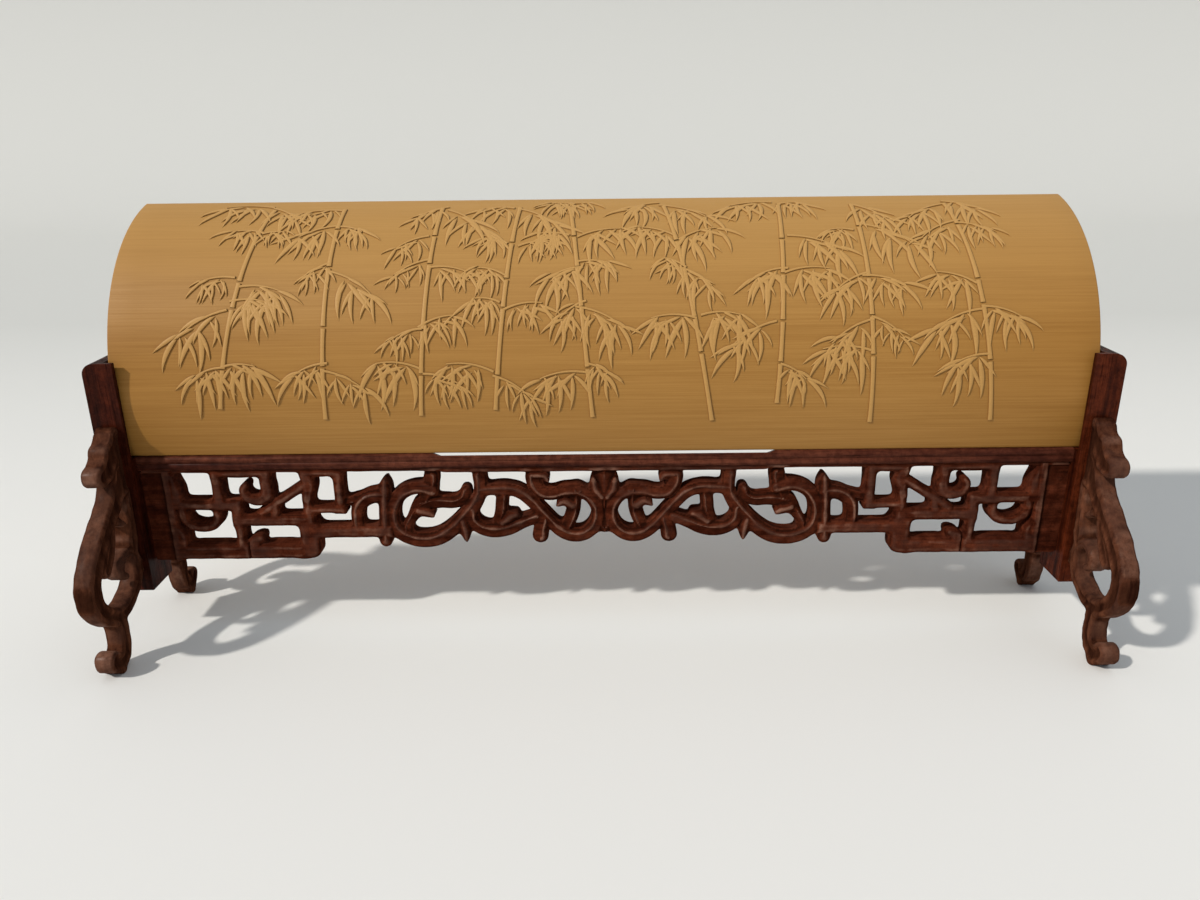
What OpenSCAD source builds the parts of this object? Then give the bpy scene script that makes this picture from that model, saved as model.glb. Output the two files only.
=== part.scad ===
// Carved bamboo wrist rest, standing in a small rosewood display stand.
// Millimetres. +X runs along the bamboo, -Y is the carved front, +Z is up.
// The origin is on the table, under the middle of the whole object.

/* [Wrist rest] */
// Length of the bamboo plate along its grain
rest_length = 300; // [240:1:340]
// Outer radius of the bamboo
rest_radius = 57.4; // [50:0.2:64]
// Thickness of the bamboo wall
rest_wall = 6; // [4:0.2:8]
// Angle of the plate's upper edge above the level of the bamboo's axis
rest_top_angle = 76; // [60:1:84]
// How far the plate's lower edge lies below the bamboo's axis
rest_drop = 18.2; // [12:0.2:24]

/* [Posts] */
// Thickness of a post along the stand
post_thickness = 9.4; // [8.5:0.1:14]
// Height of the posts' tops above the table
post_top = 92.7; // [80:0.1:105]
// Height of the posts' lower ends above the table
post_bottom = 16.8; // [8:0.2:20]
// Radius of a post's outer top corner
post_corner = 3.6; // [1:0.2:6]
// Wood left in front of the groove that holds the bamboo
front_lip = 1.6; // [1.2:0.1:3]
// Wood left behind the groove
back_lip = 2.4; // [1.6:0.1:5]
// How far each end of the bamboo goes into its groove
groove_entry = 2.7; // [1.5:0.1:3.4]

/* [Rail] */
// Height of the rail's top, where the bamboo stands
rail_top = 61.6; // [50:0.2:70]
// Height of the rail's front
rail_height = 5; // [4:0.1:8]
// Depth of the rail, front to back
rail_depth = 7; // [6:0.1:9]
// How far the rail's front lies behind the posts' fronts
rail_setback = 3.5; // [2:0.1:4.5]
// Length of the lowered middle of the rail
dip_length = 104; // [60:1:180]
// Drop of the lowered middle at the rail's front edge
dip_drop = 0.3; // [0.2:0.1:1.2]
// Slope of the lowered middle, down to the back
dip_slope = 21; // [10:1:22]
// Run of the ramps at the ends of the lowered middle, for each unit of rise
dip_ramp = 2.5; // [1:0.1:4]
// Radius of the bead along the rail's front
bead_radius = 1.5; // [0.8:0.1:1.9]

/* [Apron] */
// Height of the apron's lower edge at its ends
apron_bottom = 25.2; // [20:0.2:32]
// Thickness of the apron panel
apron_thickness = 6; // [4.5:0.1:8]
// How far the apron's face lies behind the rail's front
apron_setback = 0.8; // [0:0.1:1.5]
// Length of the plain block at each end of the apron
end_block = 9.3; // [6:0.1:9.8]

/* [Brackets] */
// Thickness of a bracket along the stand
bracket_thickness = 6; // [5:0.1:8]
// Height of the brackets' tops above the table
bracket_top = 73.3; // [66:0.1:80]
// How far a front bracket stands out from the post
front_reach = 31; // [27:0.1:36]
// How far a rear bracket stands out from the post
rear_reach = 23.9; // [22:0.1:36]

// Length of the flat under each foot
foot_flat = 3; // [2:0.1:5]

/* [Joints and fits] */
// Gap between the bamboo and the walls of its groove
slide_gap = 0.3; // [0.2:0.05:0.6]
// Gap between each end of the bamboo and the bottom of its groove
end_gap = 0.5; // [0.2:0.1:0.8]
// Gap round glued tenons, tongues and pins
glue_gap = 0.05; // [0:0.01:0.15]
// Length of the stub tenons on the rail and the apron
tenon_length = 3.4; // [2:0.1:4]
// Thickness of the tenons and of the apron's tongue
tenon_thickness = 2.4; // [1.6:0.1:3]
// Height of the apron's tongue
tongue_height = 1.2; // [0.6:0.1:1.5]
// Diameter of the bamboo pins that hold the brackets
pin_diameter = 2.4; // [1.6:0.1:3]
// Length of a pin inside the post
pin_in_post = 5.5; // [3:0.1:6.5]
// Length of an upper pin inside its bracket
upper_pin_in_bracket = 5; // [3:0.1:6]
// Length of a lower pin inside its bracket
lower_pin_in_bracket = 2.4; // [1.5:0.1:2.6]

/* [Hidden] */

bamboo = "#AD7F42";
rosewood = "#54301F";
pin_bamboo = "#C9A66B";
fine = 96;
eps = 0.01;

// The bamboo stands on the rail, its front just clear of the groove's front wall.
inner_radius = rest_radius - rest_wall;
axis_z = rail_top + rest_drop;
axis_behind = front_lip + slide_gap + rest_radius;
edge_behind = axis_behind - sqrt(pow(inner_radius, 2) - pow(rest_drop, 2));
groove_back = edge_behind + slide_gap;
post_depth = groove_back + back_lip;

// The origin lies midway between the foremost and the hindmost point.
rest_rear = axis_behind - inner_radius * cos(rest_top_angle);
rear_extent = max(post_depth + rear_reach, rest_rear);
post_front = (front_reach - rear_extent) / 2;
post_back = post_front + post_depth;
axis_y = post_front + axis_behind;

post_inner = rest_length / 2 - groove_entry;
post_middle = post_inner + post_thickness / 2;
groove_depth = groove_entry + end_gap;
groove_floor = rail_top - slide_gap;

rail_front = post_front + rail_setback;
rail_bottom = rail_top - rail_height;
apron_front = rail_front + apron_setback;
apron_middle = apron_front + apron_thickness / 2;
apron_height = rail_bottom - apron_bottom;
tenon_margin = 4;
rail_tenon_under = 0.6;
rail_tenon_over = 1.6;
rail_tenon_z = [rail_bottom + rail_tenon_under, rail_top - rail_tenon_over];
apron_tenon_z = [apron_bottom + tenon_margin, rail_bottom - tenon_margin];
mortise_length = tenon_length + glue_gap;

// Pins lie between the groove's bottom and the bracket's outer face.
pin_outset = 0.4;
pin_x = post_middle + pin_outset;

function flat(p) = [p.x, p.y];

// Point at share t between points i and i + 1 of a smooth curve through all the points of p.
function curve_at(p, i, t) =
    let (a = p[max(i - 1, 0)], b = p[i], c = p[i + 1], d = p[min(i + 2, len(p) - 1)])
    (2 * b + (c - a) * t + (2 * a - 5 * b + 4 * c - d) * t * t + (3 * b - a - 3 * c + d) * t * t * t) / 2;

function smooth_path(p, steps) = [
    for (i = [0:len(p) - 2])
        for (k = [0:steps - (i < len(p) - 2 ? 1 : 0)])
            curve_at(p, i, k / steps)
];

function heading(p, i) =
    let (u = flat(p[min(i + 1, len(p) - 1)]) - flat(p[max(i - 1, 0)]))
    atan2(u.y, u.x);

function edge_point(p, i, turn) = flat(p[i]) + p[i].z / 2 * [cos(heading(p, i) + turn), sin(heading(p, i) + turn)];

// A strap of changing width: points are [across, up, width], and both ends are round.
module strap(points, steps = 4) {
    p = smooth_path(points, steps);
    last = len(p) - 1;
    end_turns = [-60, -30, 0, 30, 60];
    polygon(concat(
        [for (i = [0:last]) edge_point(p, i, -90)],
        [for (t = end_turns) edge_point(p, last, t)],
        [for (i = [0:last]) edge_point(p, last - i, 90)],
        [for (t = end_turns) edge_point(p, 0, 180 + t)]
    ));
}

// A straight bar of one width between two points.
module bar(a, b, width) {
    run = b - a;
    translate(a)
        rotate(atan2(run.y, run.x))
            translate([-width / 2, -width / 2])
                square([norm(run) + width, width]);
}

// Draws its 2D children in the Y-Z plane and carries them along X, centred.
module along_x(length) {
    rotate([90, 0, 90])
        translate([0, 0, -length / 2])
            linear_extrude(length)
                children();
}

// Draws its 2D children in the X-Z plane and carries them back from the plane y.
module from_front(y, thickness) {
    translate([0, y + thickness, 0])
        rotate([90, 0, 0])
            linear_extrude(thickness)
                children();
}

module both_sides() {
    children();
    mirror([1, 0, 0])
        children();
}

module wrist_rest() {
    far = 3 * rest_radius;
    color(bamboo)
        translate([0, axis_y, axis_z])
            along_x(rest_length)
                intersection() {
                    difference() {
                        circle(rest_radius, $fn = fine);
                        circle(inner_radius, $fn = fine);
                    }
                    polygon([
                        [0, 0], far * [-cos(rest_top_angle), sin(rest_top_angle)],
                        [-far, far], [-far, -rest_drop], [0, -rest_drop]
                    ]);
                }
}

module post_outline() {
    translate([post_inner, post_bottom])
        difference() {
            square([post_thickness, post_top - post_bottom]);
            translate([post_thickness - post_corner, post_top - post_bottom - post_corner])
                difference() {
                    square(post_corner + eps);
                    circle(post_corner, $fn = fine);
                }
        }
}

module mortise(y, z_range) {
    translate([post_inner - eps, y - tenon_thickness / 2 - glue_gap, z_range[0] - glue_gap])
        cube([mortise_length + eps, tenon_thickness + 2 * glue_gap, z_range[1] - z_range[0] + 2 * glue_gap]);
}

module right_hand_post() {
    color(rosewood)
        difference() {
            from_front(post_front, post_depth)
                post_outline();
            translate([post_inner - eps, post_front + front_lip, groove_floor])
                cube([groove_depth + eps, groove_back - front_lip, post_top - groove_floor + eps]);
            mortise(rail_front + rail_depth / 2, rail_tenon_z);
            mortise(apron_middle, apron_tenon_z);
            pins(glue_gap, true);
            pins(glue_gap, false);
        }
}

module right_post() {
    right_hand_post();
}

module left_post() {
    mirror([1, 0, 0])
        right_hand_post();
}

module rail_section() {
    difference() {
        union() {
            translate([rail_front + bead_radius, rail_bottom])
                square([rail_depth - bead_radius, rail_height]);
            for (z = [rail_bottom + bead_radius, rail_top - bead_radius])
                translate([rail_front + bead_radius, z])
                    circle(bead_radius, $fn = fine);
            translate([rail_front + bead_radius / 2, rail_bottom + bead_radius])
                square([bead_radius, rail_height - 2 * bead_radius]);
        }
        translate([apron_middle - tenon_thickness / 2 - glue_gap, rail_bottom - eps])
            square([tenon_thickness + 2 * glue_gap, tongue_height + glue_gap + eps]);
    }
}

module tenon(y, z_range) {
    translate([post_inner - eps, y - tenon_thickness / 2, z_range[0]])
        cube([tenon_length + eps, tenon_thickness, z_range[1] - z_range[0]]);
}

module top_rail() {
    color(rosewood)
        difference() {
            union() {
                along_x(2 * post_inner)
                    rail_section();
                both_sides()
                    tenon(rail_front + rail_depth / 2, rail_tenon_z);
            }
            translate([0, rail_front, rail_top - dip_drop])
                rotate([90 - dip_slope, 0, 0])
                    translate([0, 0, -2 * rail_depth])
                        linear_extrude(3 * rail_depth)
                            polygon([
                                [-dip_length / 2, 0], [dip_length / 2, 0],
                                [dip_length / 2 + dip_ramp * rail_height, rail_height],
                                [-dip_length / 2 - dip_ramp * rail_height, rail_height]
                            ]);
        }
}

// The right half of the key fret, as bars of [start, end, width].
fret_top_bar = [[123.7, 55.2], [108, 55.2], 2.6];
fret_bottom_bar = [[138, 28], [100.4, 28], 5.6];
fret_bars = [
    fret_top_bar,
    fret_bottom_bar,
    [[123.7, 54.4], [123.7, 44.4], 3.8],
    [[108, 54.4], [108, 48.8], 4],
    [[138, 44.4], [118.3, 44.4], 3.6],
    [[118.3, 44.4], [118.3, 28], 3.3],
    [[118.3, 39.2], [95.6, 39.2], 3.6],
    [[95.2, 39], [95.2, 45.6], 3],
    [[95.2, 42.6], [84.9, 42.6], 2.8],
    [[84.9, 54.6], [84.9, 42.9], 3.5],
    [[95.8, 55.2], [84.9, 55.2], 2.6],
    [[95.6, 51.2], [110.4, 41.4], 3],
    [[95.9, 34.7], [71, 34.7], 4.5]
];

// The fret's hooks and the scrollwork of the right half, as straps of [across, up, width].
fret_hooks = [
    [[108, 49.4, 3.4], [109, 47.6, 3.2], [111.8, 46.7, 3], [114.8, 47.4, 2.9], [116.3, 49.6, 2.8], [115.2, 51.4, 2.2]],
    [[135.8, 44.6, 3.6], [135.8, 40.6, 3.6], [134.2, 37.8, 3.6], [130.6, 36.7, 3.5], [126.9, 37.5, 3.4],
     [125, 39.8, 3.2], [125.1, 41.6, 2.6]],
    [[95.4, 54.2, 3.6], [94.3, 51.6, 4.4], [94.7, 48.6, 4], [95.5, 45.8, 3.4]],
    [[115, 29.6, 4.6], [113.8, 32.4, 4.4], [112, 33.8, 3]],
    [[137.4, 46, 4.2], [137.1, 49, 3.8], [137.5, 52, 2.8], [137.9, 55, 1.4]],
    [[138.2, 36.4, 2.2], [137, 33.4, 3.2], [137.6, 30.8, 4]],
    [[104.2, 46.2, 1.2], [105.8, 43.6, 3], [106.4, 40.6, 3.4]]
];
scroll_straps = [
    [[79.8, 36.2, 4], [79.9, 40.2, 4.2], [79.3, 43.6, 4.4], [77.2, 46.3, 4.4], [74, 47.7, 4.2], [70.6, 47.6, 3.8]],
    [[79.4, 46.4, 3], [83.6, 45.4, 2.6]],
    [[69.9, 53.4, 1.2], [70.3, 50.4, 4.4], [70.8, 46, 3.6], [71, 40, 4], [71.2, 35, 4.6], [71.4, 31.6, 4.4]],
    [[55.4, 49, 4.2], [58.4, 50, 4.2], [61.8, 49.8, 4.2], [65.4, 47.9, 4.4], [67.9, 44, 4.6], [68.6, 39.6, 4.8],
     [67.2, 35.4, 5], [63.6, 32.7, 5.2], [58.8, 31.7, 5.4], [53.6, 32.7, 5.2], [49, 35.8, 4.8], [45, 40, 4.4],
     [41.8, 44, 4.2], [39.9, 47.8, 4.2], [39.6, 51.2, 4.2], [39.8, 54.2, 4.6]],
    [[55.2, 54, 5], [55.4, 52, 5], [56.4, 49, 4.6], [57.6, 46, 3.4]],
    [[63.6, 33.6, 3.4], [63.9, 36.6, 3.2], [62.2, 39.8, 3.6], [60, 42.6, 4.4], [56.6, 44.6, 4.8], [52.4, 45, 4.6],
     [48.6, 44.9, 4.4], [46.1, 46.6, 3.8], [45.5, 49.4, 3.4]],
    [[60, 42.4, 3.4], [57.4, 41.6, 3.2], [55.2, 40.6, 1.4]],
    [[58.6, 45.4, 2.6], [61, 45.6, 2.8], [62.9, 44, 2.8], [63, 41.6, 3]],
    [[46, 38.4, 3.4], [45.2, 34.8, 4], [44.9, 31.8, 1.3]],
    [[43, 42, 4.2], [42.6, 38.6, 4.4], [40.2, 36, 4.8], [36, 34.9, 5.2], [31.4, 35.6, 5], [27, 37.5, 4.4],
     [22, 39.6, 3.6]],
    [[32.4, 48.6, 3.6], [33, 45, 4.2], [33.4, 41.6, 4], [34.6, 38.4, 3.4]],
    [[33, 37.6, 3.6], [30.6, 39.6, 4.2], [28.6, 40.6, 2.4]],
    [[39.8, 49, 3.6], [34.6, 49.4, 4], [30, 49.2, 4.2], [26.4, 47.8, 4.2], [23.2, 44.8, 4.2], [19.8, 40.8, 4.2],
     [16.6, 37, 4.4], [13.4, 34.2, 4.8], [10, 33, 5], [6.4, 33.6, 4.8], [3.6, 36, 4.6], [2.2, 39.6, 4.4],
     [2.5, 43.4, 4.2], [4.9, 46.8, 4.2], [8.6, 48.8, 4.2]],
    [[8.4, 48.8, 4.2], [12.6, 48.7, 4.2], [16.6, 47.6, 4.4], [20, 48.2, 4.6], [22.2, 51, 5], [22.6, 53.6, 5.4]],
    [[9.6, 48.4, 3.6], [9.8, 44.6, 4.6], [10.2, 41, 4.4], [11.4, 37.6, 4], [12.8, 34.6, 3]],
    [[10.4, 43.6, 2.6], [13, 45, 2.4], [15.2, 43.8, 1.2]],
    [[1.8, 46.4, 4], [2.2, 50.4, 4.8], [1.9, 53, 4.4], [1.6, 54.3, 4]],
    [[19.6, 38.6, 3.6], [20.6, 35.6, 4.8], [20.9, 33, 5.4]],
    [[22.4, 54.2, 3], [19.2, 54, 3], [17.9, 52.4, 1.4]],
    [[1, 36.8, 4.4], [1, 41, 4.6], [1.2, 46, 5]]
];
apron_strip = 1;
middle_strip = 1.5;
// The fret's heel: its outline's straight side, then the round corner as [across, up, radius].
fret_heel = [[99.2, 25.2], [99.2, 38], [92.6, 38]];
fret_corner = [96, 28.6, 3.4];

// The drawing is stretched so that its bottom bar lies on the panel's lower edge,
// its top bar runs into the strip under the rail, and its bars reach the end blocks.
drawn_bottom = fret_bottom_bar[0].y - fret_bottom_bar[2] / 2;
drawn_top = fret_top_bar[0].y + fret_top_bar[2] * 0.54;
apron_kx = (post_inner - end_block) / fret_bottom_bar[0].x;
apron_kz = apron_height / (drawn_top - drawn_bottom);

// Places a point of the drawing on the panel; a third value is the strap's width there.
function on_apron(q) =
    let (x = q.x * apron_kx, z = apron_bottom + (q.y - drawn_bottom) * apron_kz)
    len(q) > 2 ? [x, z, q.z * apron_kz] : [x, z];

// The right half of the pierced panel.
module apron_half() {
    for (b = fret_bars)
        bar(on_apron(b[0]), on_apron(b[1]), b[2] * apron_kz);
    for (s = concat(fret_hooks, scroll_straps))
        strap([for (q = s) on_apron(q)], 3);
    round_corner = [for (a = [180:15:270]) flat(fret_corner) + fret_corner.z * [cos(a), sin(a)]];
    polygon([for (q = concat(fret_heel, round_corner)) on_apron(q)]);
    translate([post_inner - end_block, apron_bottom])
        square([end_block, apron_height]);
}

module apron_panel() {
    tongue_length = 2 * (post_inner - tenon_margin);
    color(rosewood) {
        from_front(apron_front, apron_thickness) {
            both_sides()
                apron_half();
            translate([-post_inner, rail_bottom - apron_strip])
                square([2 * post_inner, apron_strip]);
            translate([-dip_length / 2, rail_bottom - middle_strip])
                square([dip_length, middle_strip]);
        }
        translate([-tongue_length / 2, apron_middle - tenon_thickness / 2, rail_bottom - eps])
            cube([tongue_length, tenon_thickness, tongue_height + eps]);
        both_sides()
            tenon(apron_middle, apron_tenon_z);
    }
}

// Straps of a bracket as [out from the post, up, width].
crest_tip = [1.2, 71.8, 3];
belly = [27.8, 29.4, 6.4];
bracket_straps = [
    [crest_tip, [3, 68.4, 5.8], [5.8, 64.6, 7.2], [10.6, 61, 6]],
    [[1.5, 71.2, 3.4], [2.4, 70.7, 3.6]],
    [[4.6, 67, 4.6], [6.6, 66.8, 4.8]],
    [[8.6, 61.4, 6.2], [12.2, 61, 6.4]],
    [[3.2, 59, 6.6], [4.9, 54.8, 7.4], [7.8, 50.9, 6.6], [12.6, 47.1, 6.2], [18, 43, 6], [22.8, 38.7, 6],
     [26.4, 34, 6.2], belly, [26.8, 24.8, 6.2], [23.4, 20.6, 5.8], [18.8, 17.6, 5.6], [13.4, 17.4, 5],
     [8, 19.4, 4.6], [4, 22.6, 4.2], [2.2, 27, 4], [3.4, 31.4, 3.7], [7, 33.6, 3.4], [10.8, 32.2, 3.1],
     [12, 29, 2.9], [10, 27, 2.6]],
    [[17.4, 16, 5.4], [16.9, 12, 5], [17.1, 8.2, 5.2], [18.6, 4.8, 5.2]],
    [[18.8, 4.7, 5], [21.4, 3.4, 5.8]],
    [[21.8, 3.2, 6.2], [25, 4.8, 5.4]],
    [[13.4, 43.6, 3.6], [15, 40.4, 4.8], [17.6, 36.8, 5.8], [19.8, 34, 5.4]],
    [[9.4, 45.6, 3], [6.6, 43.6, 2.4], [5, 42.4, 1.2]]
];
toe = [25, 6, 6.2];
sole = [21.8, 2.4];
upper_seat = [51, 71.6];
upper_seat_depth = 4;
lower_seat = [23.6, 29.2];
lower_seat_depth = 2;
upper_pin_z = 64.5;
lower_pin_z = 26.4;

// The belly's front stands at the bracket's reach, and the crest's tip at its top.
function bracket_k(reach) = (reach - belly.z / 4) / (belly.x + belly.z / 4);
bracket_kz = (bracket_top - crest_tip.z / 2) / crest_tip.y;

function bracket_point(q, reach) =
    let (k = bracket_k(reach))
    [q[0] * k, q[1] * bracket_kz, q[2] * (1 + k) / 2];

module bracket_outline(reach) {
    intersection() {
        union() {
            for (s = bracket_straps)
                strap([for (q = s) bracket_point(q, reach)], 3);
            translate(flat(bracket_point(toe, reach)))
                circle(d = bracket_point(toe, reach).z, $fn = fine);
            translate([sole.x * bracket_k(reach) - foot_flat / 2, 0])
                square([foot_flat, sole.y]);
            translate([0, upper_seat[0] * bracket_kz])
                square([upper_seat_depth, (upper_seat[1] - upper_seat[0]) * bracket_kz]);
            translate([0, lower_seat[0] * bracket_kz])
                square([lower_seat_depth, (lower_seat[1] - lower_seat[0]) * bracket_kz]);
        }
        square([2 * reach, 2 * bracket_top]);
    }
}

// The pins of one right-hand bracket; grow widens them for the holes they fill.
module pins(grow, front) {
    seat = front ? post_front : post_back;
    out = front ? -1 : 1;
    for (pin = [[upper_pin_z, upper_pin_in_bracket], [lower_pin_z, lower_pin_in_bracket]]) {
        ends = [seat - out * (pin_in_post + grow), seat + out * (pin[1] + grow)];
        translate([pin_x, min(ends), pin[0] * bracket_kz])
            rotate([-90, 0, 0])
                cylinder(d = pin_diameter + 2 * grow, h = abs(ends[1] - ends[0]), $fn = fine);
    }
}

module right_hand_bracket(reach, front) {
    seat = front ? post_front : post_back;
    color(rosewood)
        difference() {
            translate([post_middle, seat, 0])
                mirror([0, front ? 1 : 0, 0])
                    along_x(bracket_thickness)
                        bracket_outline(reach);
            pins(glue_gap, front);
        }
}

module front_right_bracket() {
    right_hand_bracket(front_reach, true);
}

module rear_right_bracket() {
    right_hand_bracket(rear_reach, false);
}

module front_left_bracket() {
    mirror([1, 0, 0])
        front_right_bracket();
}

module rear_left_bracket() {
    mirror([1, 0, 0])
        rear_right_bracket();
}

module bracket_pins() {
    color(pin_bamboo)
        both_sides() {
            pins(0, true);
            pins(0, false);
        }
}

wrist_rest();
left_post();
right_post();
top_rail();
apron_panel();
front_left_bracket();
front_right_bracket();
rear_left_bracket();
rear_right_bracket();
bracket_pins();
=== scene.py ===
# %% [markdown]
# # A carved bamboo wrist rest on its rosewood stand
# A wrist rest is a length of split bamboo that keeps the writing hand off wet ink. This one stands on edge in a small
# rosewood stand with a pierced apron and scrolled brackets. The CAD frame gives every size and place; this lesson
# dresses it: it carves the stand's ornament in relief, rounds the joinery's edges, and gives each wood its finish.

# %% Load the frame and keep its box
import math

import bmesh
import bpy
import numpy as np
from mathutils import Matrix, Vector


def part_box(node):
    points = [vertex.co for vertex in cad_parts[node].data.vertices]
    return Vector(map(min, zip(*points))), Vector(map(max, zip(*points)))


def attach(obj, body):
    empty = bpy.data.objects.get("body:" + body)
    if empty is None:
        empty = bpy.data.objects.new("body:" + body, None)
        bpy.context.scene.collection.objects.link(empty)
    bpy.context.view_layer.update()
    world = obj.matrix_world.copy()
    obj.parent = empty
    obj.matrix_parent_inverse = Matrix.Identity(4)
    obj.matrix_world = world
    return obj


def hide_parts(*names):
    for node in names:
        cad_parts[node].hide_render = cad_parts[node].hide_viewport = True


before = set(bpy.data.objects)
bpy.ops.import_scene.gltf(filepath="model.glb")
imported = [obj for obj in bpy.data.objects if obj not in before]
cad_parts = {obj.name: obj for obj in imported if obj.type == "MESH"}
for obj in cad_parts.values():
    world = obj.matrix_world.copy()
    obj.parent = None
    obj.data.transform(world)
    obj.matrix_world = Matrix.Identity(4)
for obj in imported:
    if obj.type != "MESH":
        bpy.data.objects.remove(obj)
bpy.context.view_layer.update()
MM = 0.001

# %% [markdown]
# ## Getting numpy surfaces into Blender
# Every new piece below is worked out as whole arrays: points, four-sided faces and three-sided faces. One helper
# turns the arrays into a mesh object, shades it smooth up to a chosen angle, and makes it ride on a body of the
# frame. The other stores a number for each point, which a material can read.

# %% Helpers that make a piece from arrays
def make_piece(name, points, quads, triangles, material, body, sharp_angle=40):
    """Puts arrays into a mesh: points (n, 3), quads (q, 4) and triangles (t, 3) of point numbers."""
    mesh = bpy.data.meshes.new(name)
    loops = np.concatenate([np.ravel(quads), np.ravel(triangles)]).astype(np.int32)
    sizes = np.concatenate([np.full(len(quads), 4), np.full(len(triangles), 3)])
    mesh.vertices.add(len(points))
    mesh.vertices.foreach_set("co", np.ravel(points).astype(np.float32))
    mesh.loops.add(len(loops))
    mesh.loops.foreach_set("vertex_index", loops)
    mesh.polygons.add(len(sizes))
    mesh.polygons.foreach_set("loop_start", (np.cumsum(sizes) - sizes).astype(np.int32))
    mesh.update(calc_edges=True)
    mesh.validate()
    mesh.shade_smooth()
    mesh.set_sharp_from_angle(angle=math.radians(sharp_angle))
    mesh.materials.append(material)
    piece = bpy.data.objects.new(name, mesh)
    bpy.context.scene.collection.objects.link(piece)
    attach(piece, body)
    print(f"{name}: {len(points)} points, {len(quads) * 2 + len(triangles)} triangles")
    return piece


def add_values(piece, name, values):
    """Stores one number for each point of a piece, which its material can read by name."""
    layer = piece.data.attributes.new(name, "FLOAT", "POINT")
    layer.data.foreach_set("value", np.ravel(values).astype(np.float32))

print("mesh helpers ready")

# %% [markdown]
# ## Node helpers
# Materials here are built from nodes. Small helpers keep the code short: they add a node and set its inputs, mix and
# stretch values, start a node group, and start a material with its Principled shader ready.

# %% Helpers for nodes, groups and materials
def set_input(tree, socket, value):
    """Stores a value on a socket, or links an output socket to it."""
    if isinstance(value, bpy.types.NodeSocket):
        tree.links.new(value, socket)
    else:
        socket.default_value = value


def add_node(tree, kind, **inputs):
    """Adds a node and sets its inputs, which go by name, with _ for a space, or by number, as i0, i1 and i2."""
    node = tree.nodes.new(kind)
    for key, value in inputs.items():
        numbered = key[0] == "i" and key[1:].isdigit()
        set_input(tree, node.inputs[int(key[1:]) if numbered else key.replace("_", " ")], value)
    return node


def object_place(tree):
    """The place of a point on its own object, which stays on the piece when the piece moves."""
    return tree.nodes.new("ShaderNodeTexCoord").outputs["Object"]


def stored_value(tree, name):
    """The number that add_values stored on the piece under this name."""
    node = tree.nodes.new("ShaderNodeAttribute")
    node.attribute_name = name
    return node.outputs["Fac"]


def math_node(tree, operation, a, b=0.0, c=0.0):
    """One step of arithmetic on up to three values or sockets."""
    node = add_node(tree, "ShaderNodeMath", i0=a, i1=b, i2=c)
    node.operation = operation
    return node.outputs[0]


def times(tree, a, b):
    """The product of two values or sockets."""
    return math_node(tree, "MULTIPLY", a, b)


def mix_colours(tree, share, a, b, blend="MIX"):
    """A colour between a, at share 0, and b, at share 1; with MULTIPLY, b darkens a instead."""
    node = tree.nodes.new("ShaderNodeMix")
    node.data_type = "RGBA"
    node.blend_type = blend
    for number, value in ((0, share), (6, a), (7, b)):
        set_input(tree, node.inputs[number], value)
    return node.outputs[2]


def ramp(tree, value, low, high):
    """Stretches low..high to 0..1 and clamps what lies outside."""
    node = add_node(tree, "ShaderNodeMapRange", Value=value, From_Min=low, From_Max=high)
    return node.outputs[0]


def srgb(red, green, blue):
    """A screen colour of 0 to 255 as the linear values that a shader takes."""
    c = np.array([red, green, blue]) / 255
    return (*np.where(c <= 0.04045, c / 12.92, ((c + 0.055) / 1.055) ** 2.4).tolist(), 1.0)


def new_group(name, inputs, outputs):
    """An empty node group; inputs and outputs are (name, kind, default) and (name, kind)."""
    group = bpy.data.node_groups.new(name, "ShaderNodeTree")
    for title, kind, value in inputs:
        socket = group.interface.new_socket(title, in_out="INPUT", socket_type=kind)
        if value is not None:
            socket.default_value = value
    for title, kind in outputs:
        group.interface.new_socket(title, in_out="OUTPUT", socket_type=kind)
    return group, group.nodes.new("NodeGroupInput"), group.nodes.new("NodeGroupOutput")


def new_material(name, roughness, **shader_inputs):
    """A material with its Principled shader; further inputs of the shader go by name, with _ for a space."""
    material = bpy.data.materials.new(name)
    material.use_nodes = True
    tree = material.node_tree
    shader = tree.nodes["Principled BSDF"]
    shader.inputs["Roughness"].default_value = roughness
    for key, value in shader_inputs.items():
        shader.inputs[key.replace("_", " ")].default_value = value
    return material, tree, shader

print("node helpers ready")

# %% [markdown]
# ## Wood fibre, shared by both woods
# Bamboo and rosewood both show long fibres. Noise that is stretched along the grain gives them: the pattern changes
# slowly along the fibre and quickly across it. The group takes a stretched position and gives two masks, fine and
# broad, so that each wood can colour them in its own way.

# %% The fibre group
fibre_group, g_in, g_out = new_group(
    "wood_fibre",
    [("Position", "NodeSocketVector", None), ("Fine", "NodeSocketFloat", 1.0), ("Broad", "NodeSocketFloat", 0.2)],
    [("Fine Mask", "NodeSocketFloat"), ("Broad Mask", "NodeSocketFloat")])
fine = add_node(fibre_group, "ShaderNodeTexNoise", Vector=g_in.outputs[0], Scale=g_in.outputs[1], Detail=6.0,
                Roughness=0.65)
broad = add_node(fibre_group, "ShaderNodeTexNoise", Vector=g_in.outputs[0], Scale=g_in.outputs[2], Detail=3.0,
                 Roughness=0.5)
fibre_group.links.new(fine.outputs[0], g_out.inputs[0])
fibre_group.links.new(broad.outputs[0], g_out.inputs[1])
print("group:", fibre_group.name)


def fibre(tree, stretch, fine_scale, broad_scale):
    """Places the fibre group, read at Object coordinates times stretch, which is small along the grain."""
    spread = add_node(tree, "ShaderNodeMapping", Vector=object_place(tree), Scale=stretch)
    node = tree.nodes.new("ShaderNodeGroup")
    node.node_tree = fibre_group
    tree.links.new(spread.outputs[0], node.inputs[0])
    node.inputs[1].default_value = fine_scale
    node.inputs[2].default_value = broad_scale
    return node.outputs[0], node.outputs[1]

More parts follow.
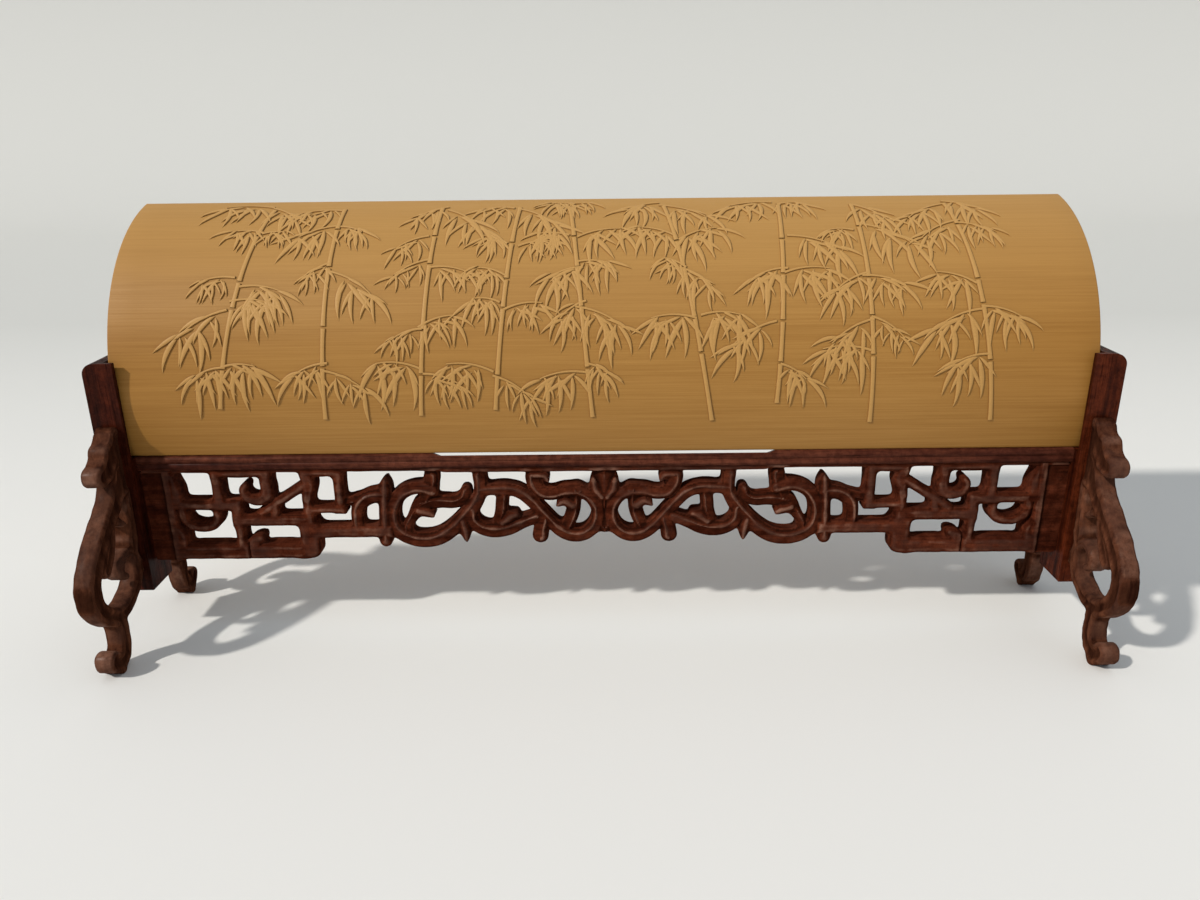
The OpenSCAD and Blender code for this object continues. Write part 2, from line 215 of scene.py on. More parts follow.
# %% [markdown]
# ## Old bamboo
# The skin of the bamboo is shaved off, so the fibres show as fine pale and brown lines along the plate, over a honey
# ground. The upper part is painted paler towards its top, as a painted sheen where the face turns up to the light,
# and both ends are darker.
# The carved strokes stand proud and keep the paler skin, with a painted shadow line round them. One material serves
# both: a stored number, raised, is 0 on the ground, a half at a stroke's edge and 1 on its top.

# %% Bamboo materials
top_sheen_from, top_sheen_to = 98 * MM, 135 * MM
darker_ends_from, darker_ends_to = 90 * MM, 150 * MM


def bamboo_material(name, ground, dark, light, roughness):
    """Streaks of the light colour over clouds between dark and ground, then a painted sheen towards the top, darker
    ends, and the carved strokes: pale tops with a painted shadow line round them.
    """
    material, tree, shader = new_material(name, roughness, Specular_IOR_Level=0.22)
    fine_mask, broad_mask = fibre(tree, (0.012, 1.0, 1.0), 2100.0, 130.0)
    streak = ramp(tree, fine_mask, 0.35, 0.68)
    cloud = ramp(tree, broad_mask, 0.3, 0.7)
    base = mix_colours(tree, cloud, dark, ground)
    base = mix_colours(tree, times(tree, streak, 0.6), base, light)
    spot = add_node(tree, "ShaderNodeSeparateXYZ", Vector=object_place(tree)).outputs
    # The plate is mixed darker and warmer towards both ends, from 90 mm out from the middle.
    darker_ends = ramp(tree, math_node(tree, "ABSOLUTE", spot[0]), darker_ends_from, darker_ends_to)
    base = mix_colours(tree, times(tree, darker_ends, 0.75), base, srgb(238, 230, 208), "MULTIPLY")
    # Painted sheen: the upper part of the face is mixed paler towards its top, as the light it catches there.
    top_sheen = ramp(tree, spot[2], top_sheen_from, top_sheen_to)
    base = mix_colours(tree, times(tree, top_sheen, 0.45), base, srgb(200, 156, 92))
    raised = stored_value(tree, "raised")
    off_edge = math_node(tree, "ABSOLUTE", math_node(tree, "SUBTRACT", raised, 0.5))
    edge = ramp(tree, off_edge, 0.45, 0.05)
    top = ramp(tree, raised, 0.55, 0.85)
    base = mix_colours(tree, times(tree, top, 0.6), base, srgb(196, 152, 90))
    # Painted shadow: a thin dark line is mixed in round each stroke's edge, as the shade at its foot.
    base = mix_colours(tree, times(tree, edge, 0.5), base, srgb(104, 68, 28))
    tree.links.new(base, shader.inputs["Base Color"])
    tree.links.new(math_node(tree, "MULTIPLY_ADD", streak, -0.08, roughness), shader.inputs["Roughness"])
    bump = add_node(tree, "ShaderNodeBump", Height=fine_mask, Strength=0.1, Distance=0.0003)
    tree.links.new(bump.outputs[0], shader.inputs["Normal"])
    return material

bamboo = bamboo_material("bamboo", srgb(159, 114, 54), srgb(150, 105, 47), srgb(178, 132, 69), 0.58)
bamboo_pin = bamboo_material("bamboo_pin", srgb(205, 172, 118), srgb(190, 152, 98), srgb(220, 190, 140), 0.6)
print("bamboo:", bamboo.name, bamboo_pin.name)

# %% [markdown]
# ## Rosewood
# The stand is dark red-brown rosewood, waxed to a satin sheen, with darker veins along the grain and tiny pores. On
# the carved pieces a stored number is high on the crowns, which use has polished and which are painted paler as
# highlight with small painted glints, and low in the cuts, which are painted dark as shade. Clouds of noise make the
# painted highlight stronger in some places than in others. The left post's browns are a little darker than the right
# post's.

# %% Rosewood materials
def carved_wear_and_shading(tree, base, place, blot, mottle):
    """Colours on carved wood from the stored value: dull clouds, crowns polished by use and painted paler as
    highlight, pale scuffs painted as glints, and cuts painted dark as shade. Gives the new colour and the mask of the
    crowns."""
    wear_and_shading = stored_value(tree, "wear_and_shading")
    cloud = add_node(tree, "ShaderNodeTexNoise", Vector=place, Scale=85.0, Detail=2.0).outputs[0]
    polish_and_highlight = math_node(tree, "MULTIPLY_ADD", ramp(tree, cloud, 0.42, 0.58), 0.75, 0.25)
    # Painted highlight: the crowns, polished by use, are mixed paler as the light on them, stronger in some clouds
    # than others.
    crown = times(tree, ramp(tree, wear_and_shading, 0.62, 1.0), ramp(tree, blot, 0.2, 0.55))
    crown = times(tree, crown, polish_and_highlight)
    # Pale scuffs on the crowns, painted as small glints.
    scuff_glint = times(tree, ramp(tree, blot, 0.55, 0.68), crown)
    dull = times(tree, ramp(tree, cloud, 0.6, 0.4), ramp(tree, wear_and_shading, 0.4, 0.6))
    # Painted shade: the cuts are mixed dark, as the shade that gathers in them.
    cut = ramp(tree, wear_and_shading, 0.45, 0.0)
    base = mix_colours(tree, times(tree, dull, 0.4), base, srgb(72, 49, 41))
    base = mix_colours(tree, times(tree, crown, 0.75), base, srgb(132, 93, 75))
    base = mix_colours(tree, times(tree, scuff_glint, 0.7 * mottle), base, srgb(150, 114, 92))
    base = mix_colours(tree, times(tree, cut, 0.8), base, srgb(33, 15, 9))
    return base, crown


def rosewood_material(name, stretch, vein_scale, dark, light, figure, mottle, carved):
    """Veins between a dark and a light brown, under darker blots; figure and mottle are the strengths of the two."""
    material, tree, shader = new_material(
        name, 0.5, Specular_IOR_Level=0.0 if carved else 0.03, Coat_Roughness=0.36)
    fine_mask, broad_mask = fibre(tree, stretch, 1400.0, vein_scale)
    vein = ramp(tree, broad_mask, 0.5 - 0.14 / figure, 0.5 + 0.14 / figure)
    pore = ramp(tree, fine_mask, 0.34, 0.5)
    place = object_place(tree)
    blot = add_node(tree, "ShaderNodeTexNoise", Vector=place, Scale=420.0, Detail=6.0, Roughness=0.72).outputs[0]
    patch = ramp(tree, blot, 0.6, 0.4)
    base = mix_colours(tree, vein, dark, light)
    base = mix_colours(tree, pore, mix_colours(tree, 0.6 * figure, base, srgb(22, 8, 5)), base)
    base = mix_colours(tree, times(tree, patch, mottle), base, srgb(136, 106, 98), "MULTIPLY")
    wax = times(tree, pore, 0.07)
    if carved:
        base, crown = carved_wear_and_shading(tree, base, place, blot, mottle)
        wax = times(tree, crown, 0.3)
    tree.links.new(base, shader.inputs["Base Color"])
    tree.links.new(math_node(tree, "MULTIPLY_ADD", pore, -0.12, 0.55), shader.inputs["Roughness"])
    tree.links.new(wax, shader.inputs["Coat Weight"])
    grain = math_node(tree, "ADD", pore, patch)
    bump = add_node(tree, "ShaderNodeBump", Height=grain, Strength=0.15, Distance=0.0003)
    tree.links.new(bump.outputs[0], shader.inputs["Normal"])
    return material

along_x, carved_x = (0.05, 1.0, 1.0), (0.06, 1.0, 1.0)
along_z, carved_z = (1.0, 1.0, 0.06), (1.0, 1.0, 0.08)
rosewood_across = rosewood_material(
    "rosewood_across", along_x, 260.0, srgb(62, 26, 17), srgb(112, 62, 44), 0.8, 0.6, False)
# The left post's browns are a little darker than the right post's.
rosewood_left_post = rosewood_material(
    "rosewood_left_post", along_z, 320.0, srgb(34, 9, 4), srgb(76, 30, 15), 1.1, 0.6, False)
rosewood_right_post = rosewood_material(
    "rosewood_right_post", along_z, 320.0, srgb(40, 12, 5), srgb(90, 38, 18), 1.1, 0.6, False)
rosewood_carved = rosewood_material(
    "rosewood_carved", carved_x, 320.0, srgb(57, 22, 12), srgb(100, 49, 31), 0.75, 0.55, True)
rosewood_scroll = rosewood_material(
    "rosewood_scroll", carved_z, 420.0, srgb(50, 24, 15), srgb(104, 63, 44), 0.65, 0.35, True)
print("rosewood: plain along X and Z, carved along X and Z")

# %% [markdown]
# ## The bamboo plate
# The plate is about a quarter of a bamboo's round. Its section is a curved band with softened corners. A cube bent by
# a modifier would be uneven; here the band's outline is worked out once and carried along the plate, and it shrinks
# by a small round at both ends, which gives the pale line that the cut edge shows.

# %% Outline of the bamboo's section
rest_low, rest_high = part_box("wrist_rest")
rest_radius = 57.4 * MM
rest_wall = 6.0 * MM
rest_top = math.radians(76)
rest_axis_y = rest_low.y + rest_radius
rest_axis_z = rest_high.z - rest_radius * math.sin(rest_top)
rest_half = (rest_high.x - rest_low.x) / 2
rest_drop = rest_axis_z - rest_low.z
edge_round = 0.5 * MM
corner_steps = 6


def radial(angle):
    """The direction from the bamboo's axis at an angle above the level, as (y, z); the front is towards -y."""
    return np.stack([-np.cos(angle), np.sin(angle)], -1)


def band_half(radius, sign, count=110):
    """Half of the band's outline and its outward directions: a round corner, an arc and a round corner. The corners
    turn from the square edges to the arc. Sign is 1 on the outer face and -1 on the inner one."""
    middle = radius - sign * edge_round
    bottom = -math.asin((rest_drop - edge_round) / middle)
    top = rest_top - edge_round / middle
    arc = np.linspace(bottom, top, count)
    turn = np.linspace(0, 1, corner_steps)[:, None]
    bottom_way, top_way = np.array([[0.0, -1.0]]), np.array([[math.sin(rest_top), math.cos(rest_top)]])
    corner_low = (1 - turn) * bottom_way + turn * sign * radial(np.array([bottom]))
    corner_high = (1 - turn) * sign * radial(np.array([top])) + turn * top_way
    ways = np.concatenate([corner_low, sign * radial(arc), corner_high])
    ways /= np.linalg.norm(ways, axis=1)[:, None]
    centres = middle * radial(np.concatenate([np.full(corner_steps, bottom), arc, np.full(corner_steps, top)]))
    return centres + edge_round * ways, ways

outer, outer_ways = band_half(rest_radius, 1)
inner, inner_ways = band_half(rest_radius - rest_wall, -1)
band = np.concatenate([outer, inner[::-1]])
band_ways = np.concatenate([outer_ways, inner_ways[::-1]])
print("section outline:", len(band), "points")

# %% Carry the section along the plate
def grid_quads(rows, columns, wrap):
    """Point numbers of the faces of a rows by columns grid; wrap joins the last column to the first."""
    r, c = np.meshgrid(np.arange(rows - 1), np.arange(columns if wrap else columns - 1), indexing="ij")
    n = (c + 1) % columns
    low, high = r * columns, (r + 1) * columns
    return np.stack([low + c, low + n, high + n, high + c], -1).reshape(-1, 4)

steps_along = 41
turn = np.linspace(0, math.pi / 2, corner_steps)
end_x = rest_half - edge_round + edge_round * np.sin(turn)
end_inset = edge_round * (1 - np.cos(turn))
middle_x = np.linspace(-end_x[0], end_x[0], steps_along)[1:-1]
plate_x = np.concatenate([-end_x[::-1], middle_x, end_x])
plate_inset = np.concatenate([end_inset[::-1], np.zeros(len(middle_x)), end_inset])
section = band[None] - plate_inset[:, None, None] * band_ways[None]
plate_points = np.concatenate([
    np.broadcast_to(plate_x[:, None, None], section.shape[:2] + (1,)),
    section + np.array([rest_axis_y, rest_axis_z])], -1).reshape(-1, 3)
around = len(band)
plate_quads = grid_quads(len(plate_x), around, True)
rung = np.arange(around // 2 - 1)
cap = np.stack([rung, rung + 1, around - 2 - rung, around - 1 - rung], -1)
plate_quads = np.concatenate([plate_quads, cap[:, ::-1], cap + (len(plate_x) - 1) * around])
no_triangles = np.empty((0, 3))
plate = make_piece("bamboo_plate", plate_points, plate_quads, no_triangles, bamboo, "wrist_rest", 30)
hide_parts("wrist_rest")

# %% [markdown]
# ## The carved strokes on the bamboo
# The face carries a design in low relief: jointed bamboo stems with sprays of hanging leaves. Each stroke is a flat
# hill with steep sides and a pointed outline, wrapped round the plate. All strokes of a kind are worked out together,
# as one array of strokes by steps along by steps across.

# %% Lay out the design on the unrolled face
def bend(start, heading, length, sag, steps):
    """Paths on the unrolled face: straight lines from start along heading, pushed sideways by sag times a parabola
    that is zero at both ends."""
    t = np.linspace(0, 1, steps)[None, :, None]
    along = np.stack([np.cos(heading), np.sin(heading)], -1)[:, None]
    aside = np.stack([-np.sin(heading), np.cos(heading)], -1)[:, None]
    reach = np.asarray(length)[:, None, None]
    push = np.asarray(sag)[:, None, None]
    return np.asarray(start)[:, None] + reach * (t * along + 4 * t * (1 - t) * push * aside)


def hanging_leaves(sprays, rng):
    """Starts, headings, lengths and sags of all leaves: each spray has fans of leaves along its twig. Each fan
    spreads about straight down, and its middle leaves are the longest."""
    fans, leaves = 3, 4
    x, up, size, lean, fall = (sprays[:, None, None, i] for i in range(5))
    along = np.linspace(0.4, 1.0, fans)[None, :, None] + rng.uniform(-0.12, 0, (len(sprays), fans, 1))
    spread = np.linspace(-0.8, 0.8, leaves)[None, None, :]
    shape = (len(sprays), fans, leaves)
    start_x = x + lean * twig_run * size * along + rng.uniform(-1.0, 1.0, shape)
    start_up = up - fall * size * along + rng.uniform(-1.0, 1.0, shape)
    heading = -math.pi / 2 + spread + 0.5 * lean + rng.uniform(-0.15, 0.15, shape)
    length = size * (13.0 - 4.5 * np.abs(spread)) * rng.uniform(0.75, 1.2, shape)
    sag = 0.1 * np.sign(spread) * rng.uniform(0.2, 1.2, shape)
    return np.stack([start_x, start_up], -1).reshape(-1, 2), heading.ravel(), length.ravel(), sag.ravel()

rng = np.random.default_rng(11)
path_steps = 9
twig_run = 25.0
stems, joints, joint_length, stem_base = 9, 5, 14.8, 14.0
stem_foot = np.linspace(-114, 114, stems) + rng.uniform(-5, 5, stems)
stem_lean = np.linspace(0.12, -0.12, stems) + rng.uniform(-0.2, 0.2, stems)
joint = np.arange(joints + 1)
uneven = rng.uniform(-4, 4, (stems, joints + 1)) * (joint < joints)
rise = stem_base + joint_length * joint + uneven
knots = np.stack([stem_foot[:, None] + stem_lean[:, None] * (rise - stem_base), rise], -1)
reach = np.diff(knots, axis=1).reshape(-1, 2)
joint_gap = 0.8
stem_paths = bend(knots[:, :-1].reshape(-1, 2), np.arctan2(reach[:, 1], reach[:, 0]),
                  np.hypot(reach[:, 0], reach[:, 1]) - joint_gap, np.zeros(len(reach)), path_steps)
# Sprays as [along the plate, up the face, size, lean, fall], in millimetres on the unrolled face: about two at a
# joint.
twig_root = np.repeat(knots[:, 1:].reshape(-1, 2), 2, axis=0)
lean = np.tile([0.6, -0.6], len(twig_root) // 2) * rng.uniform(0.6, 1.1, len(twig_root))
sprays = np.column_stack([twig_root + rng.uniform(-2, 2, twig_root.shape), rng.uniform(0.65, 1.1, len(lean)), lean,
                          rng.uniform(-5, 10, len(lean))])
sprays = sprays[rng.random(len(sprays)) > 0.12]
leaf = hanging_leaves(sprays, rng)
leaf_paths = bend(*leaf, path_steps)
run, fall = sprays[:, 3] * twig_run * sprays[:, 2], -sprays[:, 4] * sprays[:, 2]
twig_paths = bend(sprays[:, :2], np.arctan2(fall, run), np.hypot(run, fall), 0.08 * np.sign(run), path_steps)
print("leaves:", len(leaf_paths), "twigs:", len(twig_paths), "stem joints:", len(stem_paths))

# %% Raise the strokes on the plate
def raised_strokes(paths, width, profile):
    """Points, faces and the raised value of strokes wrapped round the plate. Across a stroke the height rises steeply
    at both sides to a nearly flat top; a thin skirt outside carries the painted shadow line."""
    across = np.array([-1.22, -1.02, -0.94, -0.72, 0, 0.72, 0.94, 1.02, 1.22])
    height = np.array([0.012, 0.02, 0.3, 0.4, 0.43, 0.4, 0.3, 0.02, 0.012])
    raised = np.array([0, 0.5, 0.5, 0.9, 1, 0.9, 0.5, 0.5, 0])
    step = np.gradient(paths, axis=1)
    side = np.stack([-step[..., 1], step[..., 0]], -1)
    side /= np.linalg.norm(side, axis=-1)[..., None]
    half = 0.5 * width[:, None] * profile[None, :]
    flat = paths[:, :, None, :] + (half[..., None] * across)[..., None] * side[:, :, None, :]
    crown = np.where(height > 0.1, height * np.minimum(1, 4 * profile)[:, None], height)
    angle = -math.asin(rest_drop / rest_radius) + flat[..., 1] * MM / rest_radius
    r = rest_radius + np.broadcast_to(crown, angle.shape) * MM
    points = np.stack([flat[..., 0] * MM, rest_axis_y - r * np.cos(angle), rest_axis_z + r * np.sin(angle)], -1)
    strokes, along, wide = angle.shape
    one = grid_quads(along, wide, False)
    quads = (one[None] + (np.arange(strokes) * along * wide)[:, None, None]).reshape(-1, 4)
    return points.reshape(-1, 3), quads, np.broadcast_to(raised, angle.shape).ravel()

t = np.linspace(0, 1, path_steps)
groups = [
    raised_strokes(leaf_paths, 0.14 * leaf[2], 0.03 + np.sin(math.pi * t ** 0.75)),
    raised_strokes(twig_paths, np.full(len(twig_paths), 0.9), 0.5 + 0.5 * (1 - t)),
    raised_strokes(stem_paths, np.full(len(stem_paths), 1.7), 0.85 + 0.15 * (2 * t - 1) ** 4)]
starts = np.cumsum([0] + [len(points) for points, quads, raised in groups])
strokes = make_piece(
    "carved_strokes", np.concatenate([points for points, quads, raised in groups]),
    np.concatenate([quads + start for (points, quads, raised), start in zip(groups, starts)])[:, ::-1],
    no_triangles, bamboo, "wrist_rest", 60)
add_values(strokes, "raised", np.concatenate([raised for points, quads, raised in groups]))

# %% [markdown]
# ## Carving as a height field
# The apron and the brackets are boards that were sawn to an outline and then carved. An extruded outline would look
# like a stamped plate. Here each strap of the ornament is a path with a width, and on a fine grid the distance to the
# path tells two things: whether a point is wood or air, and how deep the carver cut there.

# %% Paths and distances
def smooth_path(points, steps=8):
    """A smooth curve through the points: each span blends its four neighbours with cubic weights."""
    p = np.asarray(points, float)
    q = np.vstack([p[:1], p, p[-1:]])
    a, b, c, d = (q[i:len(p) - 1 + i, None, :] for i in range(4))
    t = np.linspace(0, 1, steps, endpoint=False)[None, :, None]
    curve = (2 * b + (c - a) * t + (2 * a - 5 * b + 4 * c - d) * t ** 2 + (3 * b - a - 3 * c + d) * t ** 3) / 2
    return np.vstack([curve.reshape(-1, p.shape[1]), p[-1:]])


def from_strap(x, z, points):
    """For each grid point, the nearest spot on a strap's centre line: how far inside the strap's edge the point
    lies, where it lies across the strap, from -1 to 1, and half the strap's width there."""
    path = smooth_path(points)
    a, run = path[:-1], np.diff(path, axis=0)
    px, pz = x.reshape(-1, 1) - a[:, 0], z.reshape(-1, 1) - a[:, 1]
    t = np.clip((px * run[:, 0] + pz * run[:, 1]) / (run[:, 0] ** 2 + run[:, 1] ** 2), 0, 1)
    square = (px - t * run[:, 0]) ** 2 + (pz - t * run[:, 1]) ** 2
    best = square.argmin(1)
    rows = np.arange(len(best))
    half = (a[best, 2] + t[rows, best] * run[best, 2]) / 2
    far = np.sqrt(square[rows, best])
    side = np.sign(run[best, 0] * pz[rows, best] - run[best, 1] * px[rows, best])
    return (half - far).reshape(x.shape), (side * far / half).reshape(x.shape), half.reshape(x.shape)


def from_bar(x, z, start, end, width):
    """How far inside a straight bar each grid point lies; its square ends pass its two points by half a width."""
    run = np.subtract(end, start)
    length = math.hypot(*run)
    along = ((x - start[0]) * run[0] + (z - start[1]) * run[1]) / length
    across = ((z - start[1]) * run[0] - (x - start[0]) * run[1]) / length
    return np.minimum(width / 2 - np.abs(across), width / 2 + np.minimum(along, length - along))


def round_edge(inside, radius):
    """Depth of a quarter-round edge: a circle of that radius, level once the point is a radius inside."""
    near = np.clip(1 - inside / radius, 0, 1)
    return radius * (1 - np.sqrt(1 - near ** 2))


def ridged(across, half):
    """Depth over a carved strap: a crisp ridge near its inner side and a steep fall beyond it. On the other side a
    broad flank drops quickly, lies hollow, swells a little and falls again at the edge."""
    ridge = -0.35
    steep = np.clip((ridge - across) / (1 + ridge), 0, 1)
    broad = np.clip((across - ridge) / (1 - ridge), 0, 1)
    quick_drop = 0.42 * (1 - np.exp(-broad / 0.14))
    edge_fall = 0.58 * broad ** 4
    swell = 0.12 * np.exp(-((broad - 0.8) / 0.12) ** 2)
    flank = quick_drop + edge_fall - swell
    drop = np.minimum(1.6, 0.7 * half)
    return drop * (0.2 * np.minimum(1, steep / 0.1) + 0.8 * steep ** 1.2 + flank)


def roofed(across, half):
    """Depth over a leaf: two plain flanks that fall from a sharp middle rib."""
    return np.minimum(1.4, 0.7 * half) * np.clip(np.abs(across), 0, 1) ** 1.1


def soft_union(fields, blend):
    """The largest of the fields, with a smooth hand-over where two are alike, which fillets the corners between them:
    blend times the logarithm of the summed exponentials."""
    fields = np.asarray(fields)
    top = fields.max(0)
    return top + blend * np.log(np.exp((fields - top) / blend).sum(0))


def hand_cut(x, z, rng, size=0.07):
    """The small unevenness of work by hand: six plane waves of random heading, a few millimetres long."""
    waves = 6
    turn, phase = rng.uniform(0, math.pi, waves), rng.uniform(0, 2 * math.pi, waves)
    pace = 2 * math.pi / rng.uniform(2.5, 9, waves)
    ripples = (np.sin(k * (x * math.cos(a) + z * math.sin(a)) + b) for k, a, b in zip(pace, turn, phase))
    return size * sum(ripples) / 2

print("carving functions ready")

# %% [markdown]
# A board is built from its two fields. Grid points that lie close to the outline are moved onto it, so the sawn edge
# comes out smooth and not in steps. The front and back are the same faces at two depths, and a wall joins them.

# %% Faces and border of a sawn outline
def sawn_faces(wood, near):
    """Faces over the grid cells that are wood, and their border. A cell with four corners of wood gives a four-sided
    face and one with three gives a three-sided face, but not where all corners lie near the outline. The border is
    the sides that no other face has the other way round."""
    number = np.arange(wood.size).reshape(wood.shape)
    corners = np.stack([number[:-1, :-1], number[:-1, 1:], number[1:, 1:], number[1:, :-1]], -1).reshape(-1, 4)
    solid, edge = wood.ravel()[corners], near.ravel()[corners]
    quads = corners[solid.all(1) & ~edge.all(1)]
    three = corners[solid.sum(1) == 3]
    gap = (~wood.ravel()[three]).argmax(1)
    triangles = three[np.arange(len(three))[:, None], (gap[:, None] + np.array([1, 2, 3])) % 4]
    triangles = triangles[~near.ravel()[triangles].all(1)]
    sides = np.concatenate([np.stack([f, np.roll(f, -1, 1)], -1).reshape(-1, 2) for f in (quads, triangles)])
    there = sides[:, 0] * wood.size + sides[:, 1]
    back_again = sides[:, 1] * wood.size + sides[:, 0]
    return quads, triangles, sides[~np.isin(there, back_again)]

print("outline sawing ready")

# %% Build a board from its fields
near_share, least_slope, even_passes = 0.52, 0.3, 9


def carved_board(name, grid_x, grid_z, inside, front, back, thickness, wear_and_shading, place, material, body):
    """Front and back surfaces over the wood, and walls along their border. Inside is the distance to the outline,
    front and back are depths below the faces, place maps (x, z, depth) to the row frame. A point near the outline
    moves down the slope of inside onto it. Along the border each point, with its depths, is drawn towards the middle
    of its two neighbours, which evens the sawn edge."""
    step = grid_x[0, 1] - grid_x[0, 0]
    slope_z, slope_x = np.gradient(inside, step)
    steep = np.maximum(slope_x ** 2 + slope_z ** 2, least_slope)
    near = np.abs(inside) < near_share * step
    shift = np.where(near, -inside / steep, 0)
    x = np.clip(grid_x + shift * slope_x, grid_x.min(), grid_x.max())
    z = np.clip(grid_z + shift * slope_z, grid_z.min(), grid_z.max())
    quads, triangles, rims = sawn_faces((inside >= 0) | near, near)
    after, before = np.arange(x.size), np.arange(x.size)
    after[rims[:, 0]], before[rims[:, 1]] = rims[:, 1], rims[:, 0]
    layers = np.stack([x.ravel(), z.ravel(), front.ravel(), thickness - back.ravel(), wear_and_shading.ravel()])
    for _ in range(even_passes):
        layers = 0.5 * layers + 0.25 * (layers[:, after] + layers[:, before])
    used = np.unique(np.concatenate([quads.ravel(), triangles.ravel()]))
    renumber = np.zeros(x.size, int)
    renumber[used] = np.arange(len(used))
    n = len(used)
    quads, triangles, rims = renumber[quads], renumber[triangles], renumber[rims]
    x, z, front, back, wear_and_shading = layers[:, used]
    points = np.concatenate([place(x, z, front), place(x, z, back)])
    walls = np.stack([rims[:, 1], rims[:, 0], rims[:, 0] + n, rims[:, 1] + n], -1)
    quads = np.concatenate([quads, quads[:, ::-1] + n, walls])
    triangles = np.concatenate([triangles, triangles[:, ::-1] + n])
    p = points[quads]
    volume = np.einsum("ij,ij->", p[:, 0], np.cross(p[:, 1], p[:, 2]) + np.cross(p[:, 2], p[:, 3]))
    if volume < 0:
        quads, triangles = quads[:, ::-1], triangles[:, ::-1]
    piece = make_piece(name, points, quads, triangles, material, body, 38)
    add_values(piece, "wear_and_shading", np.tile(wear_and_shading, 2))
    return piece


def blurred(values, mask, reach):
    """Mean of the values over a square of reach cells to each side, counting only the masked ones: running sums."""
    def box(a):
        for axis in (0, 1):
            pad = [(reach + 1, reach) if i == axis else (0, 0) for i in (0, 1)]
            total = np.cumsum(np.pad(a, pad), axis=axis)
            n = a.shape[axis]
            a = np.take(total, np.arange(n) + 2 * reach + 1, axis) - np.take(total, np.arange(n), axis)
        return a
    return box(values * mask) / np.maximum(box(mask.astype(float)), 1)

print("board builder ready")

# %% [markdown]
# ## The pierced apron
# Between the posts hangs a board with a key fret at both ends and leafy scrolls in the middle. The fret's bars are
# nearly flat with worn edges. The scrolls are straps with a crisp ridge and a hollow flank, and the leaves among them
# have a middle rib. Only the right half is listed, because the left is its mirror image: the fields are worked out
# over the distance from the middle. A bar is two ends and a width, and a strap is a row of points with a width at
# each, all in millimetres out from the middle and up from the table.

# %% The apron's ornament
apron_low, apron_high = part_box("apron_panel")
apron_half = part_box("right_post")[0].x / MM
apron_bottom = apron_low.z / MM
apron_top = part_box("top_rail")[0].z / MM
apron_thickness = (apron_high.y - apron_low.y) / MM
fret_bars = [
    [(123.7, 55.2), (108, 55.2), 2.6], [(138, 28), (100.4, 28), 5.6], [(123.7, 54.4), (123.7, 44.4), 3.8],
    [(108, 54.4), (108, 48.8), 4], [(138, 44.4), (118.3, 44.4), 3.6], [(118.3, 44.4), (118.3, 28), 3.3],
    [(118.3, 39), (95.6, 39), 4.2], [(95.2, 39), (95.2, 45.6), 3], [(95.2, 42.6), (84.9, 42.6), 2.8],
    [(84.9, 54.6), (84.9, 42.9), 3.5], [(95.8, 55.2), (84.9, 55.2), 2.6], [(95.6, 51.2), (110.4, 41.4), 3],
    [(95.9, 34.7), (71, 34.7), 4.5]]
fret_hooks = [
    [(107.8, 49.6, 4), (108.8, 47, 4), (111.4, 46, 3.8), (114.2, 46.8, 3.4), (115.6, 49.2, 3), (114.6, 51.2, 2.4)],
    [(135.8, 44.6, 3.6), (135.8, 40.6, 3.6), (134.2, 37.8, 3.6), (130.6, 36.7, 3.5), (126.9, 37.5, 3.4),
     (125, 39.8, 3.2), (125.1, 41.6, 2.6)],
    [(95.4, 54.2, 3.6), (94.3, 51.6, 4.4), (94.7, 48.6, 4), (95.5, 45.8, 3.4)],
    [(115, 29.4, 4.4), (113.8, 31.6, 4.2), (112, 32.8, 3)],
    [(137.4, 46, 4.2), (137.1, 49, 3.8), (137.5, 52, 2.8), (137.9, 55, 1.4)],
    [(138.2, 36.4, 2.2), (137, 33.4, 3.2), (137.6, 30.8, 4)],
    [(104.2, 46.2, 1.2), (105.8, 43.6, 3), (106.4, 40.6, 3.4)]]
